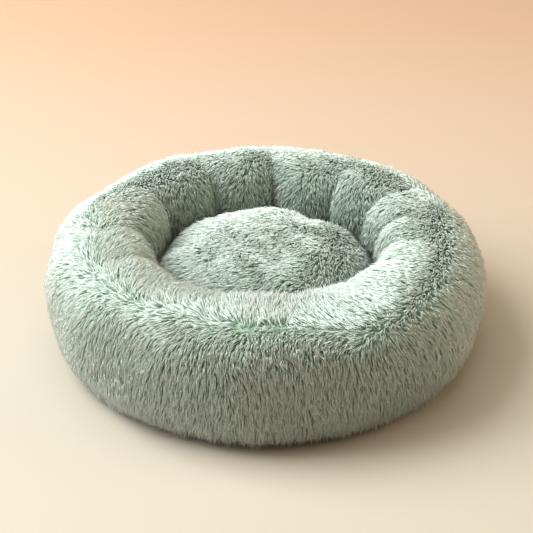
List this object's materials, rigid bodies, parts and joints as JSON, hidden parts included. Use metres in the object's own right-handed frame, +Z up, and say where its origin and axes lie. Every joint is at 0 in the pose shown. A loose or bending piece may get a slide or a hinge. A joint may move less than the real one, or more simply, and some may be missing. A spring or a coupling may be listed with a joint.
{
  "type": "pet cushion bed",
  "caption": "Round plush pet bed: a fibre-filled ring bolster on a non-slip base round a nest, with a loose domed seat cushion and hidden zips.",
  "frame": {"origin": "middle of the underside, at the height of the floor that the anti-slip dots stand on", "axes": "+Z up through the nest; +Y to the back, where the zips are; the bed is round, so +X is the side"},
  "size_m": [0.592, 0.592, 0.168],
  "materials": {
    "plush": "matte",
    "lining": "matte",
    "liner": "matte",
    "fibre": "matte",
    "base_cloth": "matte",
    "label": "satin",
    "zip_tape": "matte",
    "zip_coil": "satin",
    "zip_metal": "satin"
  },
  "bodies": {
    "bed": {"bolster_cover": "plush", "bolster_liner": "liner", "bolster_filling": "fibre", "nest_lining": "lining", "base_panel": "base_cloth", "base_gusset": "base_cloth", "care_label": "label", "bed_zip_tape_upper": "zip_tape", "bed_zip_tape_lower": "zip_tape", "bed_zip_coil_upper": "zip_coil", "bed_zip_coil_lower": "zip_coil", "bed_zip_stop_closed": "zip_metal", "bed_zip_stop_open": "zip_metal"},
    "bed_zip_slider": {"bed_zip_slider": "zip_metal"},
    "bed_zip_pull": {"bed_zip_pull": "zip_metal"},
    "cushion": {"cushion_cover": "plush", "cushion_base": "lining", "cushion_liner": "liner", "cushion_filling": "fibre", "cushion_zip_tape_upper": "zip_tape", "cushion_zip_tape_lower": "zip_tape", "cushion_zip_coil_upper": "zip_coil", "cushion_zip_coil_lower": "zip_coil", "cushion_zip_stop_closed": "zip_metal", "cushion_zip_stop_open": "zip_metal"},
    "cushion_zip_slider": {"cushion_zip_slider": "zip_metal"},
    "cushion_zip_pull": {"cushion_zip_pull": "zip_metal"}
  },
  "joints": [
    {"name": "cushion_lift", "type": "slide", "parent": "bed", "child": "cushion", "axis": [0, 0, 1], "range_m": [0, 0.25]},
    {"name": "bed_zip_run", "type": "hinge", "parent": "bed", "child": "bed_zip_slider", "pos_m": [0, 0, 0.0132], "axis": [0, 0, 1], "range_deg": [0, 115]},
    {"name": "bed_zip_pull_swing", "type": "hinge", "parent": "bed_zip_slider", "child": "bed_zip_pull", "pos_m": [0.2257, 0.1432, 0.0132], "axis": [0, 0, -1], "range_deg": [0, 160]},
    {"name": "cushion_zip_run", "type": "hinge", "parent": "cushion", "child": "cushion_zip_slider", "pos_m": [0, 0, 0.017], "axis": [0, 0, 1], "range_deg": [0, 110]},
    {"name": "cushion_zip_pull_swing", "type": "hinge", "parent": "cushion_zip_slider", "child": "cushion_zip_pull", "pos_m": [0.11553, 0.07977, 0.017], "axis": [0, 0, -1], "range_deg": [0, 160]}
  ]
}
